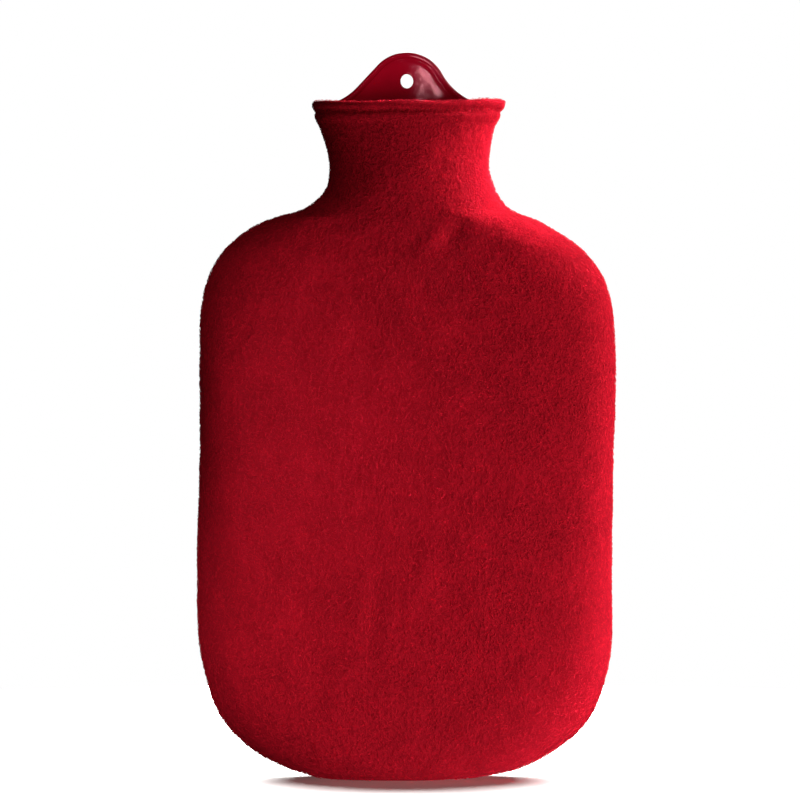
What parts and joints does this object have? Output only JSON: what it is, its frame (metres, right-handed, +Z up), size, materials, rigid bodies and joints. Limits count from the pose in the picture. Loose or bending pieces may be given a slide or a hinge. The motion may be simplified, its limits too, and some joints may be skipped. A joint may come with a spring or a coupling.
{
  "type": "hot water bottle with fitted fleece cover",
  "caption": "Upright hot water bottle in a close-fitting two-panel fleece cover with a turned hem round its flared neck, and a glossy rubber hanging tab behind it.",
  "frame": {"origin": "on the floor, under the middle of the bottle's base, at the bottom centre of the whole object's box", "axes": "+Z up towards the mouth and the hanging tab, +Y towards the back panel, so the front panel faces -Y, +X to the right of the front"},
  "size_m": [0.2002, 0.0545, 0.3472],
  "materials": {
    "fleece": "soft short-pile fleece, matt deep red",
    "rubber": "smooth moulded rubber, glossy deep red"
  },
  "bodies": {
    "root": {"cover_front": "fleece", "cover_back": "fleece", "bottle_body": "rubber", "bottle_mouth": "rubber"}
  },
  "joints": []
}
